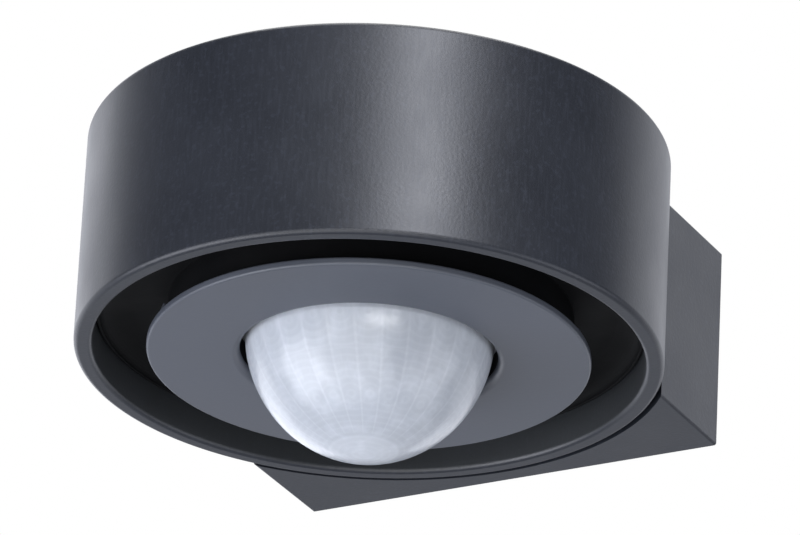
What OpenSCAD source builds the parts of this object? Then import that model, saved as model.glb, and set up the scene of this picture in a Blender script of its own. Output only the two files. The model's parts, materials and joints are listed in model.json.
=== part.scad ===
// Wall-mounted motion sensor: a round head held just clear of the wall by a block bracket.
// The row's frame: origin on the wall at the middle of the bracket, +X right, +Y into the
// wall, +Z up. The head has a frame of its own: origin on its axis at the plane of its rim.

/* [Head] */
// Outside diameter of the round head
head_d = 110; // [108:1:116]
// Height of the head from its rim to its top
head_h = 42.5; // [42.5:0.5:48]
// Thickness of the head's side wall
head_wall = 3.4; // [3:0.1:3.6]
// Thickness of the head's top
head_top = 3; // [2:0.5:4]
// Rounding of the rim's and the top's edges
head_edge = 0.9; // [0.5:0.1:1.2]

/* [Bracket] */
// Width of the bracket
bracket_w = 87; // [84:1:92]
// Height of the bracket
bracket_h = 40.5; // [38:0.5:42]
// How far the head's rim lies below the bracket's underside
rim_drop = 0.3; // [0:0.1:1]
// Width of the shadow gap between bracket and head
shadow_gap = 1; // [0.8:0.1:2]
// Thickness of the bracket at its thinnest, behind the head
bracket_web = 3.5; // [3:0.5:5]
// Thickness of the bracket's walls
bracket_wall = 3; // [2.5:0.5:4]
// Distance between the two wall screws
wall_screw_pitch = 60; // [58:1:62]
// Width of the slots for the wall screws
wall_screw_slot = 4.5; // [4:0.1:5]
// Bore of the cable grommet
cable_bore = 8; // [6:0.5:9]

/* [Cover] */
// Diameter of the front disc
disc_d = 83; // [81:0.5:85]
// Thickness of the front disc
disc_t = 1.6; // [1.2:0.1:1.8]
// Depth of the groove's outer wall, from the rim to the cove
groove_wall_h = 6.9; // [6:0.1:7.2]
// Depth of the groove's roof, where the cove ends
cove_z = 9.8; // [9.2:0.1:10]

/* [Lens] */
// Widest diameter of the dome
dome_d = 47.4; // [46:0.2:48]
// Height of the dome, from its flange to its lowest point
dome_h = 25.3; // [22:0.1:27]
// Thickness of the lens
dome_t = 0.9; // [0.6:0.1:1.2]

/* [Hidden] */
$fn = 72;

// Colours
anthracite = "#3b3e44";
disc_grey = "#54575c";
black = "#1d1e20";
steel = "#b9bcc0";
board_green = "#2f6b45";
lens_white = "#e6ecf4";

// Head
head_r = head_d / 2;
inner_r = head_r - head_wall;
ceiling_z = head_h - head_top;
front_r = head_r + shadow_gap;
axis_y = head_r + shadow_gap + bracket_web;
rim_z = -bracket_h / 2 - rim_drop;
cable_z = -rim_z;
cut = 1;
touch = 0.05;

// Bracket
bracket_edge = 0.5;
bracket_depth = axis_y / 2;
core_w = 40;
boss_r = 6.6;
slot_travel = 4;
slot_floor = 4;
counterbore_r = 4.8;
gasket_w = 1.4;
gasket_t = 1.5;
neck_w = 35;
neck_h = 20;
neck_screw_x = 13;
neck_thread_end = 0.8;
seal_r_in = 8;
seal_r_out = 10;
seal_t = 1.5;
grommet_r = 6.5;
grommet_flange_r = 8.5;
grommet_flange_t = 2;

// Screw shanks (radii)
m4 = 1.95;
m3 = 1.45;
m25 = 1.2;
thread_gap = 0.03;
free_gap = 0.2;

// Cable entry inside the head
pad_y = inner_r - 2.8;
pad_h = 16;
saddle_w = 26;
saddle_y = 38.5;
saddle_d = 7;
saddle_z = cable_z + 1.65;
clamp_top = cable_z - 1.55;
clamp_t = 4.4;
clamp_screw_x = 9.2;
cable_channel_r = cable_bore / 2 + 0.3;
earth_at = [33, 24];
earth_boss_r = 4.5;
earth_boss_z = 32.5;

// Closure plate and its turret
plate_r = inner_r - 0.35;
plate_t = 3.1;
plate_top = groove_wall_h + plate_t;
cove_r = plate_r - 6.45;
roof_z = cove_z + 1.4;
roof_r = cove_r + 4;
turret_r = disc_d / 2 - 3.5;
turret_wall = 2;
floor_z = 2;
floor_t = 2.2;
floor_top = floor_z + floor_t;
dome_hole_r = dome_d / 2 + 0.7;
collar_r = dome_hole_r + 2.6;
collar_top = 5.2;
dome_z = 6;
flange_t = 1;
frame_top = dome_z + flange_t + 1.8;
lens_steps = 28;
stop_rib = 1.5;
stop_z = plate_top + 0.6;
cove_steps = 10;
disc_hole_r = dome_hole_r - 0.5;
disc_edge = 0.5;
disc_hole_edge = 1.2;
tab_w = 9;
tab_t = 1.2;
tab_top = 5.5;

// Places on the turret: angles from +X, and the radius of each ring of places
closure_angles = [50, 170, 345];
closure_ring = 32;
closure_seat_z = floor_z + 1.2;
post_r = 3.4;
sensor_angles = [15, 110, 240];
sensor_ring = 31;
lug_r = 3.2;
tab_angles = [25, 120, 215];
dial_angles = [265, 290, 315];
dial_ring = 31.8;
dial_r = 3.1;
dial_gap = 0.08;
stub_r = 1.2;
pot_z = 7.4;
pot_w = 6;
can_r = 4.6;
can_z = 7;
window_size = [4.2, 3.2];
bead_r = 1.5;
bead_ring = 13;

// Boards
sensor_board_z = 11;
sensor_board_r = turret_r - turret_wall - 1.4;
board_t = 1.6;
sensor_board_top = sensor_board_z + board_t;
power_board_z = 34;
power_board_r = inner_r - 6.8;
power_board_flat = 35.5;
board_angles = [20, 140, 260];
board_ring = 38;
standoff_r = 3.2;

// Parts on the power board: outlines seen along the axis, places and sizes
relay_area = [[-24, -32], [5, -19.3]];
relay_h = 15.7;
film_area = [[-8, -9], [10, 0]];
film_h = 15;
electrolytic_at = [20, -22];
electrolytic_r = 5;
electrolytic_h = 16;
varistor_at = [28, 10, 27.2];
varistor_r = 5.5;
varistor_t = 4;
varistor_lead = 2.5;
fuse_at = [-8, 10, 29];
fuse_r = 2.5;
fuse_cap_r = 2.6;
fuse_l = 20;
fuse_cap_l = 5;
clip_w = 4;
clip_d = 6.4;
choke_at = [-22, -6];
choke_r = 4.5;
choke_wire_r = 3.9;
choke_h = 11;
rectifier_area = [[13, -10], [19, -4]];
rectifier_h = 2.6;
chip_area = [[4, -6], [12, 2]];
chip_h = 1.5;

// Terminal block: poles in a row along X
pole_pitch = 6;
poles = [-10, -4, 2, 8];
block_y = [19, 32];
block_z = 21;
cavity_y = [23, 29];
cavity_w = 3.2;
cavity_top = 32;
entry_z = 29.5;
button_out = 1.8;
button_top = 25.2;

// Board-to-board link
link_at = [-20, 11.5];
link_pins = 5;
link_pitch = 2.54;
link_l = 12.7;
pin_w = 0.64;

// Route of the earth lead in the head's frame, from its tag to the terminal block
earth_route = [
    [27.5, 24, 32.1], [25.6, 26, 31.6], [24, 28.5, 31], [21.5, 30.2, 30.4],
    [18.5, 30.8, 29.8], [15.5, 30.2, 29.4], [13, 29, 29], [11, 28, 29]
];
earth_lead_r = 0.9;

// --- Helpers -------------------------------------------------------------------------

// Puts its children in the head's frame
module in_head() translate([0, -axis_y, rim_z]) children();

// Puts its children at an angle and a radius about the head's axis
module spot(angle, radius) rotate(angle) translate([radius, 0, 0]) children();

// Extrudes an outline drawn in X and Z from one distance off the wall to another
module from_wall(near, far) {
    rotate([90, 0, 0]) translate([0, 0, near]) linear_extrude(far - near) children();
}

// Extrudes an outline drawn in Y and Z along X, centred on x
module across(x, width) {
    translate([x - width / 2, 0, 0]) rotate([90, 0, 90]) linear_extrude(width) children();
}

module block(low, high) translate(low) cube(high - low);

module rod(r, low, high) translate([0, 0, low]) cylinder(r = r, h = high - low);

module ring(r_in, r_out, low, high) {
    rotate_extrude() translate([r_in, low]) square([r_out - r_in, high - low]);
}

// Rectangle with four rounded corners
module soft_rect(low, high, r) {
    translate(low + [r, 0]) square(high - low - [2 * r, 0]);
    translate(low + [0, r]) square(high - low - [0, 2 * r]);
    for (x = [low.x + r, high.x - r], y = [low.y + r, high.y - r]) translate([x, y]) circle(r);
}

// Slot outline of half width r, whose end centres are a travel apart
module slot_outline(r, travel) {
    for (side = [-1, 1]) translate([side * travel / 2, 0]) circle(r);
    square([travel, 2 * r], center = true);
}

// Screw pointing up from a head that lies below z, with a cross in the head
module screw(shank_r, head_r, head_t, length) {
    cross_w = shank_r * 0.4;
    cross_l = head_r * 1.1;
    rod(shank_r, -touch, length);
    difference() {
        rod(head_r, -head_t, 0);
        for (turn = [0, 90]) rotate(turn) {
            block([-cross_l / 2, -cross_w / 2, -head_t - cut], [cross_l / 2, cross_w / 2, -head_t / 2]);
        }
    }
}

// --- Bracket side --------------------------------------------------------------------

module head_axis_rod(r) translate([0, -axis_y, -100]) cylinder(r = r, h = 200);

module bracket_outline(inset) {
    half = [bracket_w / 2 - inset, bracket_h / 2 - inset];
    soft_rect(-half, half, bracket_edge);
}

module seal_tube(r_in, r_out) from_wall(0, axis_y / 2) difference() {
    circle(r_out);
    circle(r_in);
}

// Hollows behind the concave front, open towards the wall, with a boss at each wall screw
module bracket_pockets() difference() {
    from_wall(-cut, bracket_depth) bracket_outline(bracket_wall);
    head_axis_rod(front_r + bracket_wall);
    block([-core_w / 2, -axis_y, -bracket_h], [core_w / 2, 2 * cut, bracket_h]);
    for (side = [-1, 1]) from_wall(-2 * cut, bracket_depth + cut) {
        translate([side * wall_screw_pitch / 2, 0]) slot_outline(boss_r, slot_travel);
    }
}

module wall_bracket() color(anthracite) difference() {
    union() {
        difference() {
            from_wall(0, bracket_depth) bracket_outline(0);
            head_axis_rod(front_r);
        }
        difference() {
            block([-neck_w / 2, -axis_y + head_r * 0.9, -neck_h / 2], [neck_w / 2, -cut, neck_h / 2]);
            head_axis_rod(head_r + touch);
        }
    }
    bracket_pockets();
    from_wall(-cut, axis_y / 2) circle(grommet_r + 0.1);
    intersection() {
        seal_tube(seal_r_in - touch, seal_r_out + touch);
        head_axis_rod(head_r + seal_t + touch);
    }
    for (side = [-1, 1]) {
        from_wall(neck_thread_end, axis_y / 2) translate([side * neck_screw_x, 0]) circle(m4 + thread_gap);
        translate([side * wall_screw_pitch / 2, 0, 0]) {
            from_wall(-cut, slot_floor + cut) slot_outline(wall_screw_slot / 2, slot_travel);
            from_wall(slot_floor, bracket_depth + cut) slot_outline(counterbore_r, slot_travel);
        }
    }
    from_wall(-cut, gasket_t) gasket_outline(0);
}

module gasket_outline(slack) difference() {
    bracket_outline((bracket_wall - gasket_w) / 2 + slack);
    bracket_outline((bracket_wall + gasket_w) / 2 - slack);
}

module wall_gasket() color(black) from_wall(0, gasket_t - touch) gasket_outline(touch);

module neck_seal() color(black) difference() {
    intersection() {
        seal_tube(seal_r_in, seal_r_out);
        head_axis_rod(head_r + seal_t);
    }
    head_axis_rod(head_r + touch / 2);
}

module neck_screws() color(steel) for (side = [-1, 1]) {
    translate([side * neck_screw_x, -axis_y + pad_y, 0]) rotate([-90, 0, 0]) {
        screw(m4, 3.6, 2.4, axis_y - pad_y - neck_thread_end - free_gap);
    }
}

module cable_grommet() color(black) difference() {
    union() {
        from_wall(0, axis_y - pad_y) circle(grommet_r);
        from_wall(axis_y - pad_y, axis_y - pad_y + grommet_flange_t) circle(grommet_flange_r);
    }
    from_wall(-cut, axis_y) circle(cable_bore / 2);
}

// --- Housing -------------------------------------------------------------------------

module housing_walls() rotate_extrude() {
    soft_rect([inner_r, 0], [head_r, head_h], head_edge);
    translate([0, ceiling_z]) square([head_r - head_edge, head_top]);
}

module cable_pad() intersection() {
    block([-neck_w / 2, pad_y, cable_z - pad_h / 2], [neck_w / 2, head_r, cable_z + pad_h / 2]);
    rod(inner_r + cut, 0, head_h);
}

module housing_shell() color(anthracite) difference() {
    in_head() difference() {
        union() {
            housing_walls();
            ring(inner_r - stop_rib, inner_r + cut, stop_z, stop_z + 2);
            cable_pad();
            block([-saddle_w / 2, saddle_y, saddle_z], [saddle_w / 2, saddle_y + saddle_d, ceiling_z + cut]);
            translate(earth_at) rod(earth_boss_r, earth_boss_z, ceiling_z + cut);
            for (a = closure_angles) spot(a, closure_ring) rod(post_r, floor_top, ceiling_z + cut);
            for (a = board_angles) spot(a, board_ring) {
                rod(standoff_r, power_board_z + board_t, ceiling_z + cut);
            }
        }
        for (a = closure_angles) spot(a, closure_ring) rod(m3 + thread_gap, floor_top - cut, 16);
        for (a = board_angles) spot(a, board_ring) rod(m25 + thread_gap, power_board_z, ceiling_z);
        translate(earth_at) rod(m4 + thread_gap, earth_boss_z - cut, ceiling_z);
        for (side = [-1, 1]) translate([side * clamp_screw_x, saddle_y + saddle_d / 2, 0]) {
            rod(m3 + thread_gap, saddle_z - cut, saddle_z + 10);
        }
    }
    from_wall(axis_y - saddle_y - saddle_d - cut, axis_y - saddle_y + cut) circle(cable_channel_r);
    from_wall(0, axis_y - pad_y + cut) circle(grommet_r + 0.1);
    for (side = [-1, 1]) translate([side * neck_screw_x, 0, 0]) {
        from_wall(0, axis_y - pad_y + cut) circle(m4 + free_gap);
    }
}

module cable_clamp() color(black) difference() {
    in_head() difference() {
        block([-saddle_w / 2, saddle_y, clamp_top - clamp_t], [saddle_w / 2, saddle_y + saddle_d, clamp_top]);
        for (side = [-1, 1]) translate([side * clamp_screw_x, saddle_y + saddle_d / 2, 0]) {
            rod(m3 + free_gap, 0, head_h);
        }
    }
    from_wall(0, axis_y) circle(cable_channel_r);
}

module clamp_screws() color(steel) in_head() for (side = [-1, 1]) {
    translate([side * clamp_screw_x, saddle_y + saddle_d / 2, clamp_top - clamp_t]) screw(m3, 2.9, 1.8, 16);
}

module earth_washer() color("#c9a648") in_head() difference() {
    union() {
        translate(earth_at) rod(4.2, earth_boss_z - 0.8, earth_boss_z);
        translate(earth_at) block([-6.5, -1.5, earth_boss_z - 0.8], [0, 1.5, earth_boss_z]);
    }
    translate(earth_at) rod(m4 + free_gap, 0, head_h);
}

module earth_screw() color(steel) in_head() translate([earth_at.x, earth_at.y, earth_boss_z - 0.8]) {
    screw(m4, 3.6, 2.4, 6.6);
}

// Straight lengths of wire with a ball at each bend
module wire(route, r) for (i = [0 : len(route) - 2]) {
    run = route[i + 1] - route[i];
    turn = atan2(run.y, run.x);
    tilt = acos(run.z / norm(run));
    translate(route[i]) {
        rotate([0, tilt, turn]) cylinder(r = r, h = norm(run), $fn = 24);
        if (i > 0) sphere(r = r, $fn = 24);
    }
}

module earth_lead() color("#8fb135") in_head() difference() {
    wire(earth_route, earth_lead_r);
    translate(earth_at) block([-6.6, -3, earth_boss_z - 0.9], [0, 3, earth_boss_z + 0.1]);
    block([0, 0, 0], [poles[3] + pole_pitch / 2, 40, 40]);
}

// --- Mains side ----------------------------------------------------------------------

module power_board() color(board_green) in_head() difference() {
    rod(power_board_r, power_board_z, power_board_z + board_t);
    block([-head_r, power_board_flat, 0], [head_r, head_r, head_h]);
    for (a = closure_angles) spot(a, closure_ring) rod(post_r + 0.5, 0, head_h);
    for (a = board_angles) spot(a, board_ring) rod(m25 + free_gap, 0, head_h);
    translate(earth_at) rod(earth_boss_r + 0.9, 0, head_h);
}

module board_screws() color(steel) in_head() for (a = board_angles) {
    spot(a, board_ring) translate([0, 0, power_board_z]) screw(m25, 2.4, 1.8, 5.2);
}

module terminal_block() color("#d8d9d6") in_head() difference() {
    block(
        [poles[0] - pole_pitch / 2, block_y[0], block_z],
        [poles[3] + pole_pitch / 2, block_y[1], power_board_z]
    );
    for (x = poles) {
        block(
            [x - cavity_w / 2, cavity_y[0], block_z - cut],
            [x + cavity_w / 2, cavity_y[1], cavity_top]
        );
        translate([x, block_y[1] + cut, entry_z]) rotate([90, 0, 0]) cylinder(r = 1.5, h = 4.5);
    }
}

// Bent strip that clamps a wire: up the front, along the top, and a tongue back down
module terminal_springs() color(steel) in_head() for (x = poles) {
    across(x, cavity_w - 0.6) polygon([
        [23.2, 26.8], [23.5, 26.8], [23.5, 31.4], [28.2, 31.4],
        [26.4, 28.5], [26.7, 28.3], [28.8, 31.7], [23.2, 31.7]
    ]);
}

module release_button(pole) color("#c9602b") in_head() difference() {
    block(
        [poles[pole] - 1.45, cavity_y[0] + 0.3, block_z - button_out],
        [poles[pole] + 1.45, cavity_y[1] - 0.3, button_top]
    );
    block(
        [poles[pole] - 0.3, cavity_y[0], block_z - button_out - cut],
        [poles[pole] + 0.3, cavity_y[1], block_z - button_out + 0.8]
    );
}

module release_line() release_button(0);

module release_neutral() release_button(1);

module release_load() release_button(2);

module release_earth() release_button(3);

module relay() color("#26282c") in_head() translate([0, 0, power_board_z - relay_h]) {
    linear_extrude(relay_h) soft_rect(relay_area[0], relay_area[1], 0.8);
}

module film_capacitor() color("#c8a63a") in_head() translate([0, 0, power_board_z - film_h]) {
    linear_extrude(film_h) soft_rect(film_area[0], film_area[1], 0.6);
}

// Can with a crimp groove near the board
module electrolytic_capacitor() color("#2b3550") in_head() translate(electrolytic_at) {
    rotate_extrude() difference() {
        translate([0, power_board_z - electrolytic_h]) square([electrolytic_r, electrolytic_h]);
        translate([electrolytic_r - 0.4, power_board_z - 2.6]) square([cut, 0.8]);
    }
}

module varistor() color("#3f74b4") in_head() {
    across(varistor_at.x, varistor_t) translate([varistor_at.y, varistor_at.z]) circle(varistor_r);
    for (side = [-1, 1]) translate([varistor_at.x, varistor_at.y + side * varistor_lead, 0]) {
        rod(0.4, varistor_at.z, power_board_z);
    }
}

// Hollow glass tube with a thicker cap at each end, lying along X
module fuse() color("#cfd6da") in_head() translate(fuse_at) rotate([0, 90, 0]) difference() {
    union() {
        rod(fuse_r, 0, fuse_l);
        for (z = [0, fuse_l - fuse_cap_l]) rod(fuse_cap_r, z, z + fuse_cap_l);
    }
    rod(fuse_r - 0.6, fuse_cap_l, fuse_l - fuse_cap_l);
}

module fuse_clips() color(steel) in_head() for (x = [fuse_cap_l / 2, fuse_l - fuse_cap_l / 2]) {
    translate([fuse_at.x + x, fuse_at.y, 0]) difference() {
        block([-clip_w / 2, -clip_d / 2, fuse_at.z - 2], [clip_w / 2, clip_d / 2, power_board_z]);
        translate([0, 0, fuse_at.z]) rotate([0, 90, 0]) rod(fuse_cap_r + thread_gap, -clip_w, clip_w);
        block([-clip_w, -2, fuse_at.z - 3], [clip_w, 2, fuse_at.z]);
    }
}

// Bobbin with a wound waist
module line_choke() color("#8a4a2c") in_head() translate(choke_at) {
    rod(choke_r, power_board_z - 1, power_board_z);
    rod(choke_wire_r, power_board_z - choke_h + 0.5, power_board_z - 0.5);
    rod(choke_r, power_board_z - choke_h, power_board_z - choke_h + 1);
}

module rectifier() color(black) in_head() translate([0, 0, power_board_z - rectifier_h]) {
    linear_extrude(rectifier_h) translate(rectifier_area[0]) square(rectifier_area[1] - rectifier_area[0]);
}

module link_pin_row() for (i = [0 : link_pins - 1]) {
    translate([link_at.x, link_at.y + (i - (link_pins - 1) / 2) * link_pitch, 0]) children();
}

module link_socket() color(black) in_head() difference() {
    translate(link_at) block([-1.5, -link_l / 2 - 0.25, 22], [1.5, link_l / 2 + 0.25, power_board_z]);
    link_pin_row() block([-0.5, -0.5, 21], [0.5, 0.5, 30]);
}

module link_header() color(black) in_head() {
    translate([link_at.x, link_at.y, sensor_board_top]) {
        block([-1.25, -link_l / 2, 0], [1.25, link_l / 2, 2.5]);
    }
    link_pin_row() block([-pin_w / 2, -pin_w / 2, sensor_board_top + 2], [pin_w / 2, pin_w / 2, 28]);
}

// --- Closure and sensor side ---------------------------------------------------------

// Cove from the groove's wall up to the inner ledge, as an elliptic quarter
function cove(steps) = [
    for (i = [0 : steps]) [
        cove_r + (plate_r - 0.5 - cove_r) * sin(90 * i / steps),
        groove_wall_h + (cove_z - groove_wall_h) * cos(90 * i / steps)
    ]
];

module closure_section() polygon(concat(
    [[dome_hole_r, floor_z], [turret_r, floor_z], [turret_r, cove_z]],
    cove(cove_steps),
    [
        [plate_r, groove_wall_h], [plate_r, plate_top], [roof_r, plate_top],
        [roof_r, roof_z], [turret_r - turret_wall, roof_z],
        [turret_r - turret_wall, floor_top], [collar_r, floor_top],
        [collar_r, collar_top], [dome_hole_r, collar_top]
    ]
));

module closure_gasket() color(black) in_head() {
    ring(inner_r - stop_rib + 0.1, inner_r - 0.2, plate_top, stop_z);
}

module closure_plate() color(black) in_head() difference() {
    union() {
        rotate_extrude() closure_section();
        for (a = sensor_angles) spot(a, sensor_ring) rod(lug_r, floor_top - touch, dome_z + flange_t);
    }
    for (a = sensor_angles) spot(a, sensor_ring) rod(m25 + thread_gap, floor_top, head_h);
    for (a = closure_angles) spot(a, closure_ring) {
        rod(m3 + free_gap, 0, head_h);
        rod(3, 0, closure_seat_z);
    }
    for (a = dial_angles) spot(a, dial_ring) rod(dial_r + dial_gap, 0, floor_top + cut);
}

module closure_screws() color(steel) in_head() for (a = closure_angles) {
    spot(a, closure_ring) translate([0, 0, closure_seat_z]) screw(m3, 2.8, 1.1, 11);
}

module lens_gasket() color(black) in_head() ring(dome_hole_r + 0.2, collar_r - 0.2, collar_top, dome_z);

// Half outline of an ellipse below the flange, from the flange to the lowest point
function dome_arc(a, b, steps) = [
    for (i = [0 : steps]) [a * cos(90 * i / steps), dome_z - b * sin(90 * i / steps)]
];

module fresnel_lens() color(lens_white) in_head() {
    rotate_extrude() difference() {
        polygon(concat(
            [[0, dome_z + flange_t], [dome_d / 2, dome_z + flange_t]],
            dome_arc(dome_d / 2, dome_h, lens_steps)
        ));
        polygon(concat(
            [[0, dome_z + 2 * flange_t], [dome_d / 2 - dome_t, dome_z + 2 * flange_t]],
            dome_arc(dome_d / 2 - dome_t, dome_h - dome_t, lens_steps)
        ));
    }
    ring(dome_d / 2 - dome_t, collar_r, dome_z, dome_z + flange_t);
}

module lens_frame() color(black) in_head() {
    difference() {
        union() {
            ring(dome_d / 2 - 1.3, collar_r + 0.4, dome_z + flange_t, frame_top);
            for (a = sensor_angles) spot(a, sensor_ring) {
                rod(lug_r, dome_z + flange_t, sensor_board_z);
                block([-4.5, -2.5, dome_z + flange_t], [0, 2.5, frame_top]);
            }
        }
        for (a = sensor_angles) spot(a, sensor_ring) rod(m25 + free_gap, 0, head_h);
    }
}

module sensor_board() color(board_green) in_head() difference() {
    rod(sensor_board_r, sensor_board_z, sensor_board_top);
    for (a = sensor_angles) spot(a, sensor_ring) rod(m25 + free_gap, 0, head_h);
    for (a = closure_angles) spot(a, closure_ring) rod(post_r + 0.6, 0, head_h);
}

// Screws that point down, through the board and the lens frame into the closure plate
module sensor_screws() color(steel) in_head() for (a = sensor_angles) {
    spot(a, sensor_ring) translate([0, 0, sensor_board_top]) rotate([180, 0, 0]) screw(m25, 2.4, 1.6, 7.6);
}

module pyro_can() color(steel) in_head() difference() {
    union() {
        rod(can_r, can_z, sensor_board_z);
        rod(can_r + 0.3, sensor_board_z - 0.5, sensor_board_z);
    }
    translate([0, 0, can_z]) cube([window_size.x, window_size.y, 1.2], center = true);
}

module pyro_window() color("#3a3145") in_head() translate([0, 0, can_z + 0.35]) {
    cube([window_size.x - 0.1, window_size.y - 0.1, 0.5], center = true);
}

// Small round-nosed device under the sensor board
module bead(r, length) {
    rod(r, sensor_board_z - length, sensor_board_z);
    translate([0, 0, sensor_board_z - length]) sphere(r = r);
    rod(r + 0.4, sensor_board_z - 0.6, sensor_board_z);
}

module light_sensor() color("#3a4250") in_head() spot(200, bead_ring) bead(bead_r, 2.4);

module status_led() color("#c8433c") in_head() spot(20, bead_ring) bead(bead_r, 3);

module trimmer_pots() color("#3767a8") in_head() for (a = dial_angles) spot(a, dial_ring) difference() {
    block([-pot_w / 2, -pot_w / 2, pot_z], [pot_w / 2, pot_w / 2, sensor_board_z]);
    rod(stub_r + dial_gap, pot_z - cut, pot_z + 2.4);
}

module controller_chip() color(black) in_head() translate([0, 0, sensor_board_top]) {
    linear_extrude(chip_h) translate(chip_area[0]) square(chip_area[1] - chip_area[0]);
}

// Setting dial: slotted face in the turret's floor, a collar above it and a stub in its pot
module dial(index) color("#c9ccd0") in_head() spot(dial_angles[index], dial_ring) difference() {
    union() {
        rod(dial_r, floor_z + 0.3, floor_top + 0.4);
        rod(3.8, floor_top + 0.3, floor_top + 1.1);
        rod(2.5, floor_top + 1, pot_z - 0.4);
        rod(stub_r, pot_z - 0.5, pot_z + 1.8);
    }
    block([-2.4, -0.45, 0], [2.4, 0.45, floor_z + 1.3]);
    block([1.4, -0.9, 0], [2.4, 0.9, floor_z + 0.8]);
}

module time_dial() dial(0);

module lux_dial() dial(1);

module range_dial() dial(2);

// Section of the disc: its hole has a wide round edge on the face that shows
module disc_section() difference() {
    soft_rect([disc_hole_r, 0], [disc_d / 2, disc_t], disc_edge);
    translate([disc_hole_r, 0]) difference() {
        translate([-touch, -touch]) square(disc_hole_edge + touch);
        translate([disc_hole_edge, disc_hole_edge]) circle(disc_hole_edge);
    }
}

// Flat trim disc, flush with the rim; its three tabs are spaced to grip the turret one way round
module front_disc() color(disc_grey) in_head() {
    rotate_extrude() disc_section();
    for (a = tab_angles) rotate(a) intersection() {
        ring(turret_r + 0.3, turret_r + 0.3 + tab_t, disc_t - 0.3, tab_top);
        block([0, -tab_w / 2, 0], [head_r, tab_w / 2, head_h]);
    }
}

wall_bracket();
wall_gasket();
neck_seal();
neck_screws();
cable_grommet();
housing_shell();
cable_clamp();
clamp_screws();
earth_washer();
earth_screw();
earth_lead();
power_board();
board_screws();
terminal_block();
terminal_springs();
release_line();
release_neutral();
release_load();
release_earth();
relay();
film_capacitor();
electrolytic_capacitor();
varistor();
fuse();
fuse_clips();
line_choke();
rectifier();
link_socket();
link_header();
closure_gasket();
closure_plate();
closure_screws();
lens_gasket();
fresnel_lens();
lens_frame();
sensor_board();
sensor_screws();
pyro_can();
pyro_window();
light_sensor();
status_led();
trimmer_pots();
controller_chip();
time_dial();
lux_dial();
range_dial();
front_disc();
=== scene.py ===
import json
import math

import bmesh
import bpy
from mathutils import Matrix, Vector


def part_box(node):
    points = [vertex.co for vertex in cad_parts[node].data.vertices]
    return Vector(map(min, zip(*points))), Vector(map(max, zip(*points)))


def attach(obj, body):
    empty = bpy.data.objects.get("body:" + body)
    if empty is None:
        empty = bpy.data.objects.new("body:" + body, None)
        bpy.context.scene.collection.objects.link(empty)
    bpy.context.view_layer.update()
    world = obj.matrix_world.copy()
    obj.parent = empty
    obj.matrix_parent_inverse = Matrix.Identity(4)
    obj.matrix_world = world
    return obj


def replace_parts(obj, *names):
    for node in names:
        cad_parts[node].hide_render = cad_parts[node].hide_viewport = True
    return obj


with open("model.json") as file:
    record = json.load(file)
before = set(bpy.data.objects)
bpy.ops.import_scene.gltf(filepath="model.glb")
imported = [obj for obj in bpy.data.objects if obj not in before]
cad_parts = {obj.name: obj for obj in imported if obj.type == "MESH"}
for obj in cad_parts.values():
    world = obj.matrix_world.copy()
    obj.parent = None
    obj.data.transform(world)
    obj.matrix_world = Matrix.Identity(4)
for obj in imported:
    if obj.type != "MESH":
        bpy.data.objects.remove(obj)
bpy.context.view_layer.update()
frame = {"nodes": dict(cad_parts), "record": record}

# --- Places and sizes, in metres, most of them worked out from the frame --------------------

shell_low, shell_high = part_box("housing_shell")
lens_low, lens_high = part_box("fresnel_lens")
disc_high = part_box("front_disc")[1]

HEAD_R = (shell_high[0] - shell_low[0]) / 2
HEAD_H = shell_high[2] - shell_low[2]
HEAD_WALL = 0.0034
INNER_R = HEAD_R - HEAD_WALL
AXIS_Y = (shell_high[1] + shell_low[1]) / 2
RIM_Z = shell_low[2]
HEAD_MIDDLE = Vector((0, AXIS_Y, RIM_Z + HEAD_H / 2))

FLANGE_T = 0.001
FLANGE_R = (lens_high[0] - lens_low[0]) / 2
DOME_TOP = lens_high[2] - FLANGE_T
DOME_H = DOME_TOP - lens_low[2]
DOME_R = 0.0234
DOME_T = 0.0009

# --- Node helpers -----------------------------------------------------------------------------


def new_material(name):
    """An empty node material with its Principled shader, as (material, tree, shader)."""
    material = bpy.data.materials.new(name)
    material.use_nodes = True
    tree = material.node_tree
    return material, tree, tree.nodes["Principled BSDF"]


def node(tree, kind, **settings):
    """Adds a node and sets its properties."""
    made = tree.nodes.new(kind)
    for key, value in settings.items():
        setattr(made, key, value)
    return made


def feed(tree, value, socket):
    """Links a socket, or sets a number or a vector, on an input."""
    if isinstance(value, bpy.types.NodeSocket):
        tree.links.new(value, socket)
    else:
        socket.default_value = value


def calc(tree, operation, *values):
    """One Math node; returns its output."""
    made = node(tree, "ShaderNodeMath", operation=operation)
    for value, socket in zip(values, made.inputs):
        feed(tree, value, socket)
    return made.outputs[0]


def length(tree, a, b):
    """Length of the two legs' hypotenuse."""
    return calc(tree, "SQRT", calc(tree, "ADD", calc(tree, "POWER", a, 2.0), calc(tree, "POWER", b, 2.0)))


def ramp(tree, value, low, high, out_low=0.0, out_high=1.0):
    """Maps a range of a value smoothly onto another range, clamped."""
    made = node(tree, "ShaderNodeMapRange", interpolation_type="SMOOTHSTEP")
    feed(tree, value, made.inputs["Value"])
    for key, number in (("From Min", low), ("From Max", high), ("To Min", out_low), ("To Max", out_high)):
        made.inputs[key].default_value = number
    return made.outputs["Result"]


def mix(tree, factor, a, b):
    """Mixes two colours; returns the colour output."""
    made = node(tree, "ShaderNodeMix", data_type="RGBA")
    feed(tree, factor, made.inputs["Factor"])
    feed(tree, a, made.inputs[6])
    feed(tree, b, made.inputs[7])
    return made.outputs[2]


def place(tree):
    """The point in the object's own frame, in metres."""
    return node(tree, "ShaderNodeTexCoord").outputs["Object"]


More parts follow.
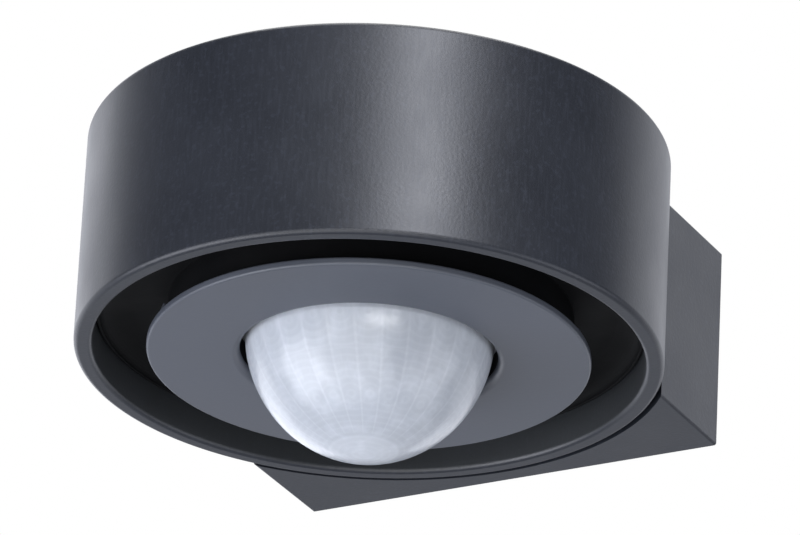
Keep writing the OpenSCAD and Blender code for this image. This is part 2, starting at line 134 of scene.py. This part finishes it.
def noise(tree, vector, size, detail=2.0, roughness=0.5):
    """Noise whose grains are about that size, in metres."""
    made = node(tree, "ShaderNodeTexNoise")
    feed(tree, vector, made.inputs["Vector"])
    made.inputs["Scale"].default_value = 1 / size
    made.inputs["Detail"].default_value = detail
    made.inputs["Roughness"].default_value = roughness
    return made.outputs["Fac"]


def axes(tree, vector):
    """The three parts of a vector."""
    split = node(tree, "ShaderNodeSeparateXYZ")
    feed(tree, vector, split.inputs[0])
    return split.outputs


def stretched(tree, vector, scale):
    """The vector scaled along each axis."""
    mapping = node(tree, "ShaderNodeMapping")
    feed(tree, vector, mapping.inputs["Vector"])
    mapping.inputs["Scale"].default_value = scale
    return mapping.outputs[0]


def bump(tree, height, depth, below=None):
    """A Bump node for a height from 0 to 1 and its depth in metres, over the normal below it."""
    made = node(tree, "ShaderNodeBump")
    made.inputs["Strength"].default_value = 1.0
    made.inputs["Distance"].default_value = depth
    feed(tree, height, made.inputs["Height"])
    if below is not None:
        feed(tree, below, made.inputs["Normal"])
    return made.outputs["Normal"]


def rounded(tree, radius):
    """Normals rounded over the edges, and a mask that is near 1 on them, used for painted edge highlights.
    """
    bevel = node(tree, "ShaderNodeBevel", samples=4)
    bevel.inputs["Radius"].default_value = radius
    true = node(tree, "ShaderNodeNewGeometry").outputs["Normal"]
    dot = node(tree, "ShaderNodeVectorMath", operation="DOT_PRODUCT")
    feed(tree, bevel.outputs[0], dot.inputs[0])
    feed(tree, true, dot.inputs[1])
    return bevel.outputs[0], ramp(tree, dot.outputs["Value"], 0.90, 0.995, 1.0, 0.0)


def shade(colour, factor):
    """A colour made lighter or darker, with alpha 1."""
    return (*[c * factor for c in colour[:3]], 1.0)


# --- Materials ----------------------------------------------------------------------------------


def powder_coat():
    """Satin anthracite coat: fine orange peel, a faint upright grain and a painted highlight along the rim
    and top edges.
    """
    material, tree, shader = new_material("powder_coat")
    base = (0.0108, 0.0126, 0.0178)
    groove_wall_light = (0.046, 0.049, 0.050, 1)
    at = place(tree)
    x, y, z = axes(tree, at)
    from_axis = calc(tree, "SUBTRACT", y, AXIS_Y)
    around = calc(tree, "MULTIPLY", calc(tree, "ARCTAN2", from_axis, x), HEAD_R)
    wrapped = node(tree, "ShaderNodeCombineXYZ")
    feed(tree, around, wrapped.inputs[0])
    feed(tree, calc(tree, "MULTIPLY", z, 0.12), wrapped.inputs[2])
    streaks = noise(tree, wrapped.outputs[0], 0.0006, 2.0, 0.6)
    clouds = noise(tree, at, 0.020, 3.0)
    peel = noise(tree, at, 0.0006, 2.0)
    specks = ramp(tree, noise(tree, at, 0.0009, 1.0), 0.58, 0.68)
    colour = mix(tree, ramp(tree, clouds, 0.3, 0.7), shade(base, 0.92), shade(base, 1.10))
    colour = mix(tree, ramp(tree, streaks, 0.45, 0.70, 0.0, 0.40), colour, shade(base, 1.7))
    colour = mix(tree, calc(tree, "MULTIPLY", specks, 0.35), colour, shade(base, 2.1))
    # Painted light: the shell's inner wall below mid-height gets a lighter grey than the coat, standing in
    # for light falling into the groove.
    blend = 0.0003
    within = ramp(tree, length(tree, from_axis, x), INNER_R - blend, INNER_R + blend, 0.8, 0.0)
    groove_light_mask = calc(tree, "MULTIPLY", within, calc(tree, "LESS_THAN", z, HEAD_MIDDLE.z))
    colour = mix(tree, groove_light_mask, colour, groove_wall_light)
    # Painted highlight: the coat is lighter in a narrow band along the rim and the top edge.
    for highlight_edge_z in (RIM_Z, RIM_Z + HEAD_H):
        off = calc(tree, "ABSOLUTE", calc(tree, "SUBTRACT", z, highlight_edge_z))
        colour = mix(tree, ramp(tree, off, 0.0001, 0.0008, 0.25, 0.0), colour, shade(base, 2.2))
    feed(tree, colour, shader.inputs["Base Color"])
    rough = calc(tree, "ADD", ramp(tree, clouds, 0.3, 0.7, 0.37, 0.42),
                 ramp(tree, streaks, 0.3, 0.8, 0.0, 0.03))
    feed(tree, rough, shader.inputs["Roughness"])
    grain = bump(tree, streaks, 0.000006)
    feed(tree, bump(tree, peel, 0.000022, below=grain), shader.inputs["Normal"])
    return material


def moulded(name, base, roughness, grain=0.0005, depth=0.00001, cloud=0.012, edge_highlight=0.25, coat=0.0,
            gloss=0.5):
    """Moulded plastic: spark-eroded grain of a size and depth, soft clouds in tone and gloss, and a painted
    highlight that makes the edges paler."""
    material, tree, shader = new_material(name)
    at = place(tree)
    clouds = noise(tree, at, cloud, 3.0)
    fine = noise(tree, at, grain, 2.0, 0.6)
    normal, edge = rounded(tree, 0.00025)
    colour = mix(tree, ramp(tree, clouds, 0.3, 0.7), shade(base, 0.92), shade(base, 1.08))
    colour = mix(tree, ramp(tree, fine, 0.55, 0.8, 0.0, 0.25), colour, shade(base, 1.3))
    # Painted highlight: paler colour along the edges, by the bevel mask.
    colour = mix(tree, calc(tree, "MULTIPLY", edge, edge_highlight), colour, shade(base, 1.7))
    feed(tree, colour, shader.inputs["Base Color"])
    feed(tree, ramp(tree, clouds, 0.3, 0.7, roughness - 0.04, roughness + 0.05), shader.inputs["Roughness"])
    feed(tree, bump(tree, fine, depth, below=normal), shader.inputs["Normal"])
    shader.inputs["Coat Weight"].default_value = coat
    shader.inputs["Specular IOR Level"].default_value = gloss
    return material


def metal(name, base, roughness):
    """Bare metal: drawn scratches, dull patches and a painted highlight that makes the edges lighter."""
    material, tree, shader = new_material(name)
    at = place(tree)
    scratches = noise(tree, stretched(tree, at, (1, 1, 8)), 0.0004, 3.0, 0.6)
    patches = noise(tree, at, 0.004, 3.0)
    colour = mix(tree, ramp(tree, patches, 0.35, 0.7), shade(base, 0.82), shade(base, 1.05))
    normal, edge = rounded(tree, 0.00012)
    # Painted highlight: lighter colour along the edges, by the bevel mask.
    colour = mix(tree, calc(tree, "MULTIPLY", edge, 0.5), colour, shade(base, 1.2))
    feed(tree, colour, shader.inputs["Base Color"])
    shader.inputs["Metallic"].default_value = 1.0
    rough = calc(tree, "ADD", ramp(tree, patches, 0.3, 0.7, roughness - 0.06, roughness + 0.08),
                 ramp(tree, scratches, 0.3, 0.7, 0.0, 0.08))
    feed(tree, rough, shader.inputs["Roughness"])
    feed(tree, bump(tree, scratches, 0.000008, below=normal), shader.inputs["Normal"])
    return material


def circuit_board():
    """Green solder mask over copper tracks, with a woven glass grain."""
    material, tree, shader = new_material("circuit_board")
    base = (0.018, 0.13, 0.055)
    tracks_per_metre = 130
    at = place(tree)
    tracks = node(tree, "ShaderNodeTexBrick", offset=0.5, squash=0.6)
    feed(tree, at, tracks.inputs["Vector"])
    tracks.inputs["Scale"].default_value = tracks_per_metre
    tracks.inputs["Mortar Size"].default_value = 0.035
    tracks.inputs["Color1"].default_value = shade(base, 0.8)
    tracks.inputs["Color2"].default_value = shade(base, 1.0)
    tracks.inputs["Mortar"].default_value = shade(base, 1.7)
    weave = noise(tree, at, 0.0007, 2.0)
    feed(tree, mix(tree, ramp(tree, weave, 0.3, 0.8, 0.0, 0.35), tracks.outputs["Color"], shade(base, 0.6)),
         shader.inputs["Base Color"])
    feed(tree, ramp(tree, weave, 0.3, 0.7, 0.28, 0.40), shader.inputs["Roughness"])
    feed(tree, bump(tree, tracks.outputs["Fac"], 0.00003), shader.inputs["Normal"])
    shader.inputs["Coat Weight"].default_value = 0.3
    return material


def fuse_glass():
    """Clear glass with a thin uneven film."""
    material, tree, shader = new_material("fuse_glass")
    at = place(tree)
    film = noise(tree, at, 0.003, 2.0)
    feed(tree, mix(tree, ramp(tree, film, 0.3, 0.7), (0.86, 0.90, 0.91, 1), (0.78, 0.83, 0.86, 1)),
         shader.inputs["Base Color"])
    feed(tree, ramp(tree, film, 0.3, 0.7, 0.03, 0.12), shader.inputs["Roughness"])
    shader.inputs["Transmission Weight"].default_value = 0.85
    feed(tree, bump(tree, film, 0.00001), shader.inputs["Normal"])
    return material


def winding():
    """Enamelled copper wire in close turns, with painted shade in the creases between them."""
    material, tree, shader = new_material("copper_winding")
    base = (0.36, 0.12, 0.045)
    wire = 0.0005
    at = place(tree)
    turns = calc(tree, "PINGPONG", calc(tree, "MULTIPLY", axes(tree, at)[2], 1 / wire), 0.5)
    clouds = noise(tree, at, 0.004, 2.0)
    # Painted shade: darker in the creases between turns, slightly lighter along their crowns.
    colour = mix(tree, ramp(tree, turns, 0.05, 0.4), shade(base, 0.45), shade(base, 1.1))
    feed(tree, mix(tree, ramp(tree, clouds, 0.4, 0.7, 0.0, 0.4), colour, shade(base, 0.7)),
         shader.inputs["Base Color"])
    feed(tree, ramp(tree, clouds, 0.3, 0.7, 0.22, 0.35), shader.inputs["Roughness"])
    shader.inputs["Metallic"].default_value = 0.6
    feed(tree, bump(tree, turns, 0.0003), shader.inputs["Normal"])
    return material


# Two rows of lenses and a cap. TIERS are the angles below the flange at which the second row
# and the cap begin; LEAN is how far a seam turns about the axis on its way down.
SECTORS = 27
FIRST_SEAM = math.radians(-57.3)
LEAN = 0.10
TIERS = (math.radians(29), math.radians(72))
RING_PITCH = 0.0014


def lens_pattern(tree, at):
    """The seams between the lenses and the rings inside them, each from 0 to 1, and the angle below
    the flange."""
    x, y, z = axes(tree, at)
    depth = node(tree, "ShaderNodeClamp")
    feed(tree, calc(tree, "MULTIPLY", calc(tree, "SUBTRACT", DOME_TOP, z), 1 / DOME_H), depth.inputs[0])
    fall = calc(tree, "ARCSINE", depth.outputs[0])
    turn = calc(tree, "ARCTAN2", calc(tree, "SUBTRACT", y, AXIS_Y), x)
    turn = calc(tree, "SUBTRACT", calc(tree, "SUBTRACT", turn, FIRST_SEAM),
                calc(tree, "MULTIPLY", fall, LEAN))
    border = calc(tree, "PINGPONG", calc(tree, "MULTIPLY", turn, SECTORS / (2 * math.pi)), 0.5)
    in_cap = calc(tree, "GREATER_THAN", fall, TIERS[1])
    seam = calc(tree, "MULTIPLY", ramp(tree, border, 0.0, 0.11, 1.0, 0.0),
                calc(tree, "SUBTRACT", 1.0, in_cap))
    for tier in TIERS:
        gap = calc(tree, "ABSOLUTE", calc(tree, "SUBTRACT", fall, tier))
        seam = calc(tree, "MAXIMUM", seam, ramp(tree, gap, 0.0, 0.022, 0.3, 0.0))
    sector_w = 2 * math.pi * DOME_R / SECTORS
    across = calc(tree, "MULTIPLY", calc(tree, "SUBTRACT", 0.5, border), sector_w)
    across = calc(tree, "MULTIPLY", across, calc(tree, "COSINE", fall))
    second_row = calc(tree, "GREATER_THAN", fall, TIERS[0])
    middle = calc(tree, "ADD", TIERS[0] / 2, calc(tree, "MULTIPLY", second_row, TIERS[1] / 2))
    along = calc(tree, "MULTIPLY", calc(tree, "SUBTRACT", fall, middle), DOME_H)
    reach = length(tree, across, along)
    from_pole = calc(tree, "MULTIPLY", calc(tree, "SUBTRACT", math.pi / 2, fall), DOME_R)
    chosen = node(tree, "ShaderNodeMix", data_type="FLOAT")
    feed(tree, in_cap, chosen.inputs[0])
    feed(tree, reach, chosen.inputs[2])
    feed(tree, from_pole, chosen.inputs[3])
    rings = calc(tree, "PINGPONG", calc(tree, "MULTIPLY", chosen.outputs[0], 1 / RING_PITCH), 0.5)
    return seam, calc(tree, "MULTIPLY", rings, 2.0), fall


def milky_lens():
    """Milky polyethylene with the faint seams and rings of its lenses, and painted light brightening the
    band below the flange.
    """
    material, tree, shader = new_material("milky_lens")
    base = (0.392, 0.418, 0.468)
    flow_tint = (0.80, 0.85, 0.93, 1)
    ring_tint = (0.90, 0.94, 0.98, 1)
    seam_tint = (0.93, 0.96, 1.0, 1)
    cap_tint = (0.86, 0.90, 0.96, 1)
    shoulder_painted_light = (0.84, 0.88, 0.94, 1)
    at = place(tree)
    seam, rings, fall = lens_pattern(tree, at)
    clouds = noise(tree, at, 0.016, 3.0)
    fine = noise(tree, at, 0.0012, 2.0)
    flow = noise(tree, stretched(tree, at, (1, 1, 0.15)), 0.003, 3.0)
    colour = mix(tree, ramp(tree, clouds, 0.3, 0.7), shade(base, 0.96), shade(base, 1.04))
    colour = mix(tree, ramp(tree, flow, 0.4, 0.75, 0.0, 0.13), colour, flow_tint)
    colour = mix(tree, calc(tree, "MULTIPLY", ramp(tree, rings, 0.35, 0.95), 0.030), colour, ring_tint)
    colour = mix(tree, calc(tree, "MULTIPLY", seam, 0.06), colour, seam_tint)
    colour = mix(tree, ramp(tree, fall, TIERS[1], TIERS[1] + 0.05, 0.0, 0.12), colour, cap_tint)
    # Painted light: the dome is made paler near the flange, fading out further down.
    colour = mix(tree, ramp(tree, fall, 0.0, 0.30, 0.32, 0.0), colour, shoulder_painted_light)
    feed(tree, colour, shader.inputs["Base Color"])
    feed(tree, ramp(tree, fine, 0.3, 0.7, 0.20, 0.24), shader.inputs["Roughness"])
    shader.inputs["Subsurface Weight"].default_value = 0.8
    shader.inputs["Subsurface Radius"].default_value = (1.0, 1.0, 1.0)
    shader.inputs["Subsurface Scale"].default_value = 0.0015
    ribs = bump(tree, rings, 0.000012)
    ribs = bump(tree, seam, 0.000015, below=ribs)
    feed(tree, bump(tree, fine, 0.000006, below=ribs), shader.inputs["Normal"])
    return material


def slot_materials():
    """One material for each of the record's slots."""
    return {
        "powder_coat": powder_coat(),
        "trim_plastic": moulded("trim_plastic", (0.060, 0.067, 0.085), 0.42, 0.0007, 0.000012, 0.03,
                                edge_highlight=0.3),
        "black_plastic": moulded("black_plastic", (0.0052, 0.0055, 0.0064), 0.60, 0.0006, 0.00002,
                                 gloss=0.15),
        "lens_plastic": milky_lens(),
        "rubber": moulded("rubber", (0.016, 0.016, 0.017), 0.72, 0.0004, 0.00002, 0.006, edge_highlight=0.1),
        "steel": metal("steel", (0.56, 0.57, 0.59), 0.30),
        "brass": metal("brass", (0.62, 0.44, 0.17), 0.28),
        "earth_wire": moulded("earth_wire", (0.19, 0.36, 0.04), 0.38, 0.0008, 0.000008, 0.004),
        "circuit_board": circuit_board(),
        "terminal_plastic": moulded("terminal_plastic", (0.55, 0.56, 0.53), 0.38),
        "button_plastic": moulded("button_plastic", (0.55, 0.15, 0.03), 0.36),
        "component_black": moulded("component_black", (0.018, 0.019, 0.022), 0.34, 0.0004, 0.000012),
        "component_yellow": moulded("component_yellow", (0.52, 0.34, 0.05), 0.30, coat=0.3),
        "capacitor_sleeve": moulded("capacitor_sleeve", (0.02, 0.03, 0.08), 0.22, coat=0.4),
        "varistor_blue": moulded("varistor_blue", (0.03, 0.13, 0.36), 0.33, 0.0009, 0.00003, 0.003),
        "fuse_glass": fuse_glass(),
        "copper_winding": winding(),
        "filter_window": moulded("filter_window", (0.03, 0.018, 0.035), 0.12, 0.002, 0.000002, coat=0.5),
        "diode_lens": moulded("diode_lens", (0.03, 0.04, 0.05), 0.12, 0.002, 0.000002, coat=0.5),
        "led_red": moulded("led_red", (0.50, 0.02, 0.015), 0.15, 0.002, 0.000002, coat=0.5),
        "pot_blue": moulded("pot_blue", (0.03, 0.10, 0.30), 0.36),
        "dial_plastic": moulded("dial_plastic", (0.56, 0.57, 0.58), 0.36),
    }


def dress_cad_nodes(materials):
    """Gives every carried-over CAD node its slot's procedural material."""
    slot_of = {part["node"]: part["material_slot"] for part in frame["record"]["subparts"]}
    for name, part in frame["nodes"].items():
        part.data.materials.clear()
        part.data.materials.append(materials[slot_of[name]])
        part.modifiers.new("even_normals", "WEIGHTED_NORMAL").keep_sharp = True


# --- The Fresnel dome ---------------------------------------------------------------------------

CREASE_DEPTH = 0.000012
CREASE_WIDTH = 0.0006
DOME_COLUMNS = 432
DOME_ROWS = 72


def crease(fall, turn):
    """How far the outer face sinks at the seams between lenses, in metres."""
    step = 2 * math.pi / SECTORS
    off = (turn - FIRST_SEAM - LEAN * fall) / step
    side = abs(off - round(off)) * step * DOME_R * math.cos(fall)
    near = [abs(fall - tier) * DOME_H for tier in TIERS]
    if fall < TIERS[1]:
        near.append(side)
    return CREASE_DEPTH * math.exp(-(min(near) / CREASE_WIDTH) ** 2)


def dome_verts(bm, radius, height, sunk):
    """A grid of vertices over one face of the dome, flange row first, and its lowest vertex."""
    rows = []
    for j in range(DOME_ROWS):
        fall = math.pi / 2 * j / DOME_ROWS
        row = []
        for i in range(DOME_COLUMNS):
            turn = 2 * math.pi * i / DOME_COLUMNS - math.pi
            dip = crease(fall, turn) if sunk else 0.0
            r = (radius - dip) * math.cos(fall)
            row.append(bm.verts.new((r * math.cos(turn), AXIS_Y + r * math.sin(turn),
                                     DOME_TOP - (height - dip) * math.sin(fall))))
        rows.append(row)
    return rows, bm.verts.new((0, AXIS_Y, DOME_TOP - height))


def ring_verts(bm, radius, z):
    """A level ring of vertices about the head's axis."""
    turns = [2 * math.pi * i / DOME_COLUMNS - math.pi for i in range(DOME_COLUMNS)]
    return [bm.verts.new((radius * math.cos(t), AXIS_Y + radius * math.sin(t), z)) for t in turns]


def bridge(bm, first, second):
    """Quads between two rings of vertices."""
    count = len(first)
    for i in range(count):
        k = (i + 1) % count
        bm.faces.new((first[i], first[k], second[k], second[i]))


def add_dome(material):
    """The lens as one closed thin shell: creased outer face, plain inner face and flange."""
    bm = bmesh.new()
    outer, lowest = dome_verts(bm, DOME_R, DOME_H, True)
    inner, highest = dome_verts(bm, DOME_R - DOME_T, DOME_H - DOME_T, False)
    loops = [inner[0], ring_verts(bm, DOME_R - DOME_T, DOME_TOP + FLANGE_T),
             ring_verts(bm, FLANGE_R, DOME_TOP + FLANGE_T), ring_verts(bm, FLANGE_R, DOME_TOP)]
    chain = inner[::-1] + loops[1:] + outer
    for first, second in zip(chain, chain[1:]):
        bridge(bm, first, second)
    for rows, tip in ((outer, lowest), (inner, highest)):
        last = rows[-1]
        for i in range(DOME_COLUMNS):
            bm.faces.new((last[i], last[(i + 1) % DOME_COLUMNS], tip))
    bmesh.ops.recalc_face_normals(bm, faces=bm.faces)
    mesh = bpy.data.meshes.new("lens_dome")
    bm.to_mesh(mesh)
    bm.free()
    mesh.materials.append(material)
    mesh.shade_smooth()
    dome = bpy.data.objects.new("lens_dome", mesh)
    bpy.context.collection.objects.link(dome)
    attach(dome, "sensor")
    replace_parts(dome, "fresnel_lens")


# --- Round parts rebuilt with fine, even facets ---------------------------------------------------

COAT_FILM = 0.00005
HEAD_EDGE = 0.0009
COAT_DEPTH = 0.006
DISC_R = disc_high[0]
DISC_HOLE_R = 0.0241
DISC_T = 0.0016
DISC_EDGE = 0.0005
DISC_HOLE_EDGE = 0.0014
TAB_R = (0.0383, 0.0395)
TAB_W = 0.009
TAB_TURNS = (25, 120, 215)
ROUND_COLUMNS = 480
ARC_STEPS = 10
HOLD = 0.00003
SHARP_ANGLE = math.radians(30)


def arc(r, z, radius, start, end):
    """Points of an arc in the (r, z) plane, with a point HOLD before and after to keep the flats flat."""
    turns = [math.radians(start + (end - start) * i / ARC_STEPS) for i in range(ARC_STEPS + 1)]
    points = [(r + radius * math.cos(t), z + radius * math.sin(t)) for t in turns]
    lead = HOLD if end > start else -HOLD
    (r0, z0), (r1, z1) = points[0], points[-1]
    first = (r0 + lead * math.sin(turns[0]), z0 - lead * math.cos(turns[0]))
    last = (r1 - lead * math.sin(turns[-1]), z1 + lead * math.cos(turns[-1]))
    return [first] + points + [last]


def revolve(bm, outline):
    """Sweeps a closed outline of (r, z) points, in metres above the rim plane, about the head's axis."""
    rings = []
    turns = [2 * math.pi * i / ROUND_COLUMNS for i in range(ROUND_COLUMNS)]
    for r, z in outline:
        if r == 0:
            rings.append([bm.verts.new((0, AXIS_Y, RIM_Z + z))] * ROUND_COLUMNS)
            continue
        rings.append([bm.verts.new((r * math.cos(t), AXIS_Y + r * math.sin(t), RIM_Z + z)) for t in turns])
    for first, second in zip(rings, rings[1:] + rings[:1]):
        for i in range(ROUND_COLUMNS):
            k = (i + 1) % ROUND_COLUMNS
            corners = list(dict.fromkeys((first[i], first[k], second[k], second[i])))
            if len(corners) > 2:
                bm.faces.new(corners)


def finish_piece(bm, name, material, body):
    """Makes an object of the mesh, smooth but for its sharp corners, that rides a body."""
    bmesh.ops.recalc_face_normals(bm, faces=bm.faces)
    mesh = bpy.data.meshes.new(name)
    bm.to_mesh(mesh)
    bm.free()
    mesh.materials.append(material)
    piece = bpy.data.objects.new(name, mesh)
    bpy.context.collection.objects.link(piece)
    mesh.shade_smooth()
    mesh.set_sharp_from_angle(angle=SHARP_ANGLE)
    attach(piece, body)
    return piece


def coat_outline(film):
    """Outline of the coat at a distance from the metal: inner wall, rim, outer wall and top."""
    edge = HEAD_EDGE + film
    return ([(INNER_R - film, COAT_DEPTH)] + arc(INNER_R + HEAD_EDGE, HEAD_EDGE, edge, 180, 270)
            + arc(HEAD_R - HEAD_EDGE, HEAD_EDGE, edge, 270, 360)
            + arc(HEAD_R - HEAD_EDGE, HEAD_H - HEAD_EDGE, edge, 0, 90) + [(0, HEAD_H + film)])


def add_coat(material):
    """The coat over the shell's rim, wall and top, as a thin closed film."""
    bm = bmesh.new()
    revolve(bm, coat_outline(COAT_FILM) + coat_outline(-COAT_FILM)[::-1])
    finish_piece(bm, "shell_coat", material, "sensor")


def add_disc(material):
    """The front disc, with the wide round edge of its hole and its three tabs."""
    bm = bmesh.new()
    inner, outer = DISC_HOLE_R, DISC_R
    revolve(bm, arc(inner + DISC_HOLE_EDGE, DISC_HOLE_EDGE, DISC_HOLE_EDGE, 180, 270)
            + arc(outer - DISC_EDGE, DISC_EDGE, DISC_EDGE, 270, 360)
            + arc(outer - DISC_EDGE, DISC_T - DISC_EDGE, DISC_EDGE, 0, 90) + [(inner, DISC_T)])
    low, high = RIM_Z + DISC_T - DISC_EDGE, disc_high[2]
    for middle in TAB_TURNS:
        half = TAB_W / 2 / TAB_R[0]
        turns = [math.radians(middle) + half * (i / ARC_STEPS - 1) for i in range(2 * ARC_STEPS + 1)]
        cuts = [[bm.verts.new((r * math.cos(t), AXIS_Y + r * math.sin(t), z))
                 for r, z in ((TAB_R[0], low), (TAB_R[1], low), (TAB_R[1], high), (TAB_R[0], high))]
                for t in turns]
        for first, second in zip(cuts, cuts[1:]):
            bridge(bm, first, second)
        bm.faces.new(cuts[0])
        bm.faces.new(cuts[-1][::-1])
    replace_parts(finish_piece(bm, "trim_disc", material, "cover"), "front_disc")


# --- Camera, floor and lights ---------------------------------------------------------------------

VIEW_AZIMUTH = math.radians(28.66)
VIEW_ELEVATION = math.radians(-25.32)
VIEW_ROLL = math.radians(2.89)
VIEW_DISTANCE = 1.3574
VIEW_LENS = 325.94
AIM_OFFSET = Vector((0.00402, 0.00301, -0.00150))
FLOOR_Z = -3.4
FLOOR_HALF = 4.0
COOL = (0.90, 0.92, 1.0)


def towards(azimuth, elevation):
    """Unit vector from the object, azimuth 0 in front of it and positive to its right."""
    return Vector((math.sin(azimuth) * math.cos(elevation),
                   -math.cos(azimuth) * math.cos(elevation), math.sin(elevation)))


def add_camera():
    """The camera, seeing the head from below and from its right, slightly rolled."""
    data = bpy.data.cameras.new("camera")
    camera = bpy.data.objects.new("camera", data)
    bpy.context.collection.objects.link(camera)
    data.lens = VIEW_LENS
    data.sensor_width = 36.0
    data.clip_start, data.clip_end = 0.05, 50.0
    back = towards(VIEW_AZIMUTH, VIEW_ELEVATION)
    level = (-back).to_track_quat("-Z", "Y").to_matrix()
    camera.matrix_world = (Matrix.Translation(HEAD_MIDDLE + AIM_OFFSET + back * VIEW_DISTANCE)
                           @ (level @ Matrix.Rotation(VIEW_ROLL, 3, "Z")).to_4x4())
    bpy.context.scene.camera = camera


def add_panel(name, azimuth, elevation, distance, width, height, power, colour=(1, 1, 1)):
    """A soft area light aimed at the head: degrees from the camera's azimuth and above the horizon,
    then metres and watts."""
    data = bpy.data.lights.new(name, "AREA")
    data.shape = "RECTANGLE"
    data.size, data.size_y = width, height
    data.energy = power
    data.color = colour
    light = bpy.data.objects.new(name, data)
    bpy.context.collection.objects.link(light)
    out = towards(VIEW_AZIMUTH + math.radians(azimuth), math.radians(elevation))
    light.location = HEAD_MIDDLE + out * distance
    light.rotation_mode = "QUATERNION"
    light.rotation_quaternion = (-out).to_track_quat("-Z", "Y")
    light.visible_camera = False


def add_lights():
    """Highlights on the head and dome, bright edges left and right, and fill from every side."""
    add_panel("key_panel", 16, 27, 1.3, 0.42, 0.7, 15, COOL)
    add_panel("dome_panel", 11, -9, 1.3, 0.66, 0.06, 3.4)
    add_panel("strip_panel", -18, -8, 1.3, 1.3, 0.14, 1.4, COOL)
    add_panel("left_edge_panel", -148, 15, 1.6, 1.5, 2.0, 18, COOL)
    add_panel("right_edge_panel", 142, 15, 1.6, 1.5, 2.0, 12, COOL)
    add_panel("under_panel", -22, -42, 1.4, 1.8, 1.8, 19)
    add_panel("left_side_panel", -80, -32, 1.4, 1.0, 1.0, 17, COOL)
    add_panel("right_side_panel", 80, -32, 1.4, 1.0, 1.0, 6, COOL)
    add_panel("top_panel", 0, 88, 2.0, 2.0, 2.0, 46)
    add_panel("back_panel", 180, -24, 1.6, 2.4, 0.9, 4, COOL)


def add_world():
    """Even pale surround: white to the camera and dimmer as light."""
    world = bpy.data.worlds.new("studio")
    bpy.context.scene.world = world
    world.use_nodes = True
    tree = world.node_tree
    tree.nodes.clear()
    soft = node(tree, "ShaderNodeBackground")
    soft.inputs["Color"].default_value = (0.90, 0.94, 1.0, 1)
    soft.inputs["Strength"].default_value = 0.15
    seen = node(tree, "ShaderNodeBackground")
    seen.inputs["Color"].default_value = (1, 1, 1, 1)
    seen.inputs["Strength"].default_value = 1.0
    choose = node(tree, "ShaderNodeMixShader")
    ray = node(tree, "ShaderNodeLightPath")
    output = node(tree, "ShaderNodeOutputWorld")
    feed(tree, ray.outputs["Is Camera Ray"], choose.inputs[0])
    feed(tree, soft.outputs[0], choose.inputs[1])
    feed(tree, seen.outputs[0], choose.inputs[2])
    feed(tree, choose.outputs[0], output.inputs["Surface"])


def add_floor():
    """A plain pale floor, low enough to leave views from below free."""
    mesh = bpy.data.meshes.new("floor")
    corners = [(x * FLOOR_HALF, y * FLOOR_HALF, FLOOR_Z) for x, y in ((-1, -1), (1, -1), (1, 1), (-1, 1))]
    mesh.from_pydata(corners, [], [(0, 1, 2, 3)])
    floor = bpy.data.objects.new("floor", mesh)
    bpy.context.collection.objects.link(floor)
    material, tree, shader = new_material("floor")
    patches = noise(tree, place(tree), 0.4, 2.0)
    feed(tree, mix(tree, patches, (0.80, 0.80, 0.80, 1), (0.84, 0.84, 0.84, 1)), shader.inputs["Base Color"])
    shader.inputs["Roughness"].default_value = 0.8
    mesh.materials.append(material)


# --- Build ------------------------------------------------------------------------------------------

add_camera()
add_world()
add_lights()
add_floor()
materials = slot_materials()
dress_cad_nodes(materials)
add_dome(materials["lens_plastic"])
add_coat(materials["powder_coat"])
add_disc(materials["trim_plastic"])
bpy.context.scene.view_settings.view_transform = "Standard"
